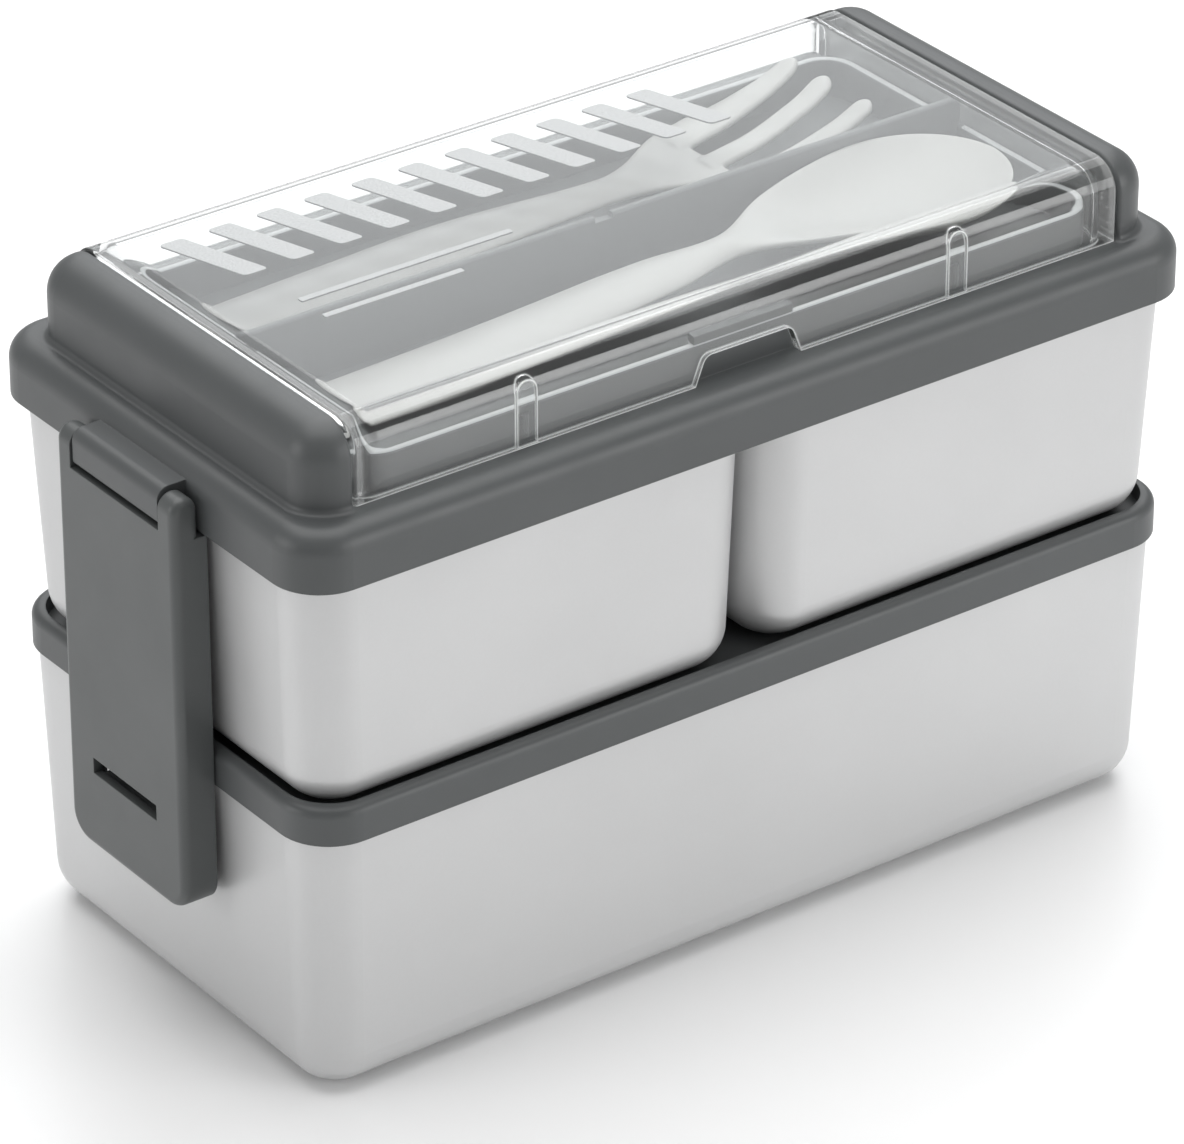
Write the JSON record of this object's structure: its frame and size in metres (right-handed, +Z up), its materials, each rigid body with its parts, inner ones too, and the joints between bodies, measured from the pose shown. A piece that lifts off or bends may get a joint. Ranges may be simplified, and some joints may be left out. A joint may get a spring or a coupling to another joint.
{
  "type": "bento lunch box",
  "caption": "Stacked rectangular lunch box: long lower container, paired upper containers, lid with clear hinged cutlery cover, fork and spoon, and end latches.",
  "frame": {"origin": "centre of the underside of the lower box", "axes": "+X along the length of the box, -Y towards the side with the finger notch, +Z up"},
  "size_m": [0.2122, 0.1012, 0.1335],
  "materials": {
    "container": "satin",
    "lid_dark": "satin",
    "latch_dark": "satin",
    "clear_cover": "clear, polished",
    "cutlery": "satin",
    "seal": "soft silicone",
    "pin": "plain"
  },
  "bodies": {
    "lower_box": {"lower_box": "container"},
    "mid_lid": {"mid_lid": "lid_dark", "mid_lid_seal": "seal"},
    "upper_box_left": {"upper_box_left": "container"},
    "upper_box_right": {"upper_box_right": "container"},
    "lid": {"lid": "lid_dark", "lid_seal_left": "seal", "lid_seal_right": "seal", "latch_pin_left": "pin", "latch_pin_right": "pin"},
    "cutlery_cover": {"cutlery_cover": "clear_cover"},
    "fork": {"fork": "cutlery"},
    "spoon": {"spoon": "cutlery"},
    "latch_left": {"latch_left": "latch_dark"},
    "latch_right": {"latch_right": "latch_dark"}
  },
  "joints": [
    {"name": "lid_lift", "type": "slide", "parent": "lower_box", "child": "lid", "axis": [0, 0, 1], "range_m": [0, 0.06]},
    {"name": "upper_box_left_lift", "type": "slide", "parent": "lower_box", "child": "upper_box_left", "axis": [0, 0, 1], "range_m": [0, 0.04]},
    {"name": "upper_box_right_lift", "type": "slide", "parent": "lower_box", "child": "upper_box_right", "axis": [0, 0, 1], "range_m": [0, 0.04]},
    {"name": "mid_lid_lift", "type": "slide", "parent": "lower_box", "child": "mid_lid", "axis": [0, 0, 1], "range_m": [0, 0.02]},
    {"name": "latch_left_open", "type": "hinge", "parent": "lid", "child": "latch_left", "pos_m": [-0.1033, 0, 0.111], "axis": [0, 1, 0], "range_deg": [0, 105]},
    {"name": "latch_right_open", "type": "hinge", "parent": "lid", "child": "latch_right", "pos_m": [0.1033, 0, 0.111], "axis": [0, -1, 0], "range_deg": [0, 105]},
    {"name": "cover_hinge", "type": "hinge", "parent": "lid", "child": "cutlery_cover", "pos_m": [0, 0.0416, 0.1205], "axis": [-1, 0, 0], "range_deg": [0, 88]},
    {"name": "fork_lift", "type": "slide", "parent": "lid", "child": "fork", "axis": [0, 0, 1], "range_m": [0, 0.019]},
    {"name": "spoon_lift", "type": "slide", "parent": "lid", "child": "spoon", "axis": [0, 0, 1], "range_m": [0, 0.032]}
  ],
  "couplings": [
    {"joint": "upper_box_left_lift", "follows": "lid_lift", "ratio": 0.6666},
    {"joint": "upper_box_right_lift", "follows": "lid_lift", "ratio": 0.6666},
    {"joint": "mid_lid_lift", "follows": "lid_lift", "ratio": 0.3333},
    {"joint": "latch_left_open", "follows": "lid_lift", "rad_per_m": 30},
    {"joint": "latch_right_open", "follows": "lid_lift", "rad_per_m": 30},
    {"joint": "fork_lift", "follows": "cover_hinge", "m_per_rad": 0.012},
    {"joint": "spoon_lift", "follows": "cover_hinge", "m_per_rad": 0.02}
  ]
}
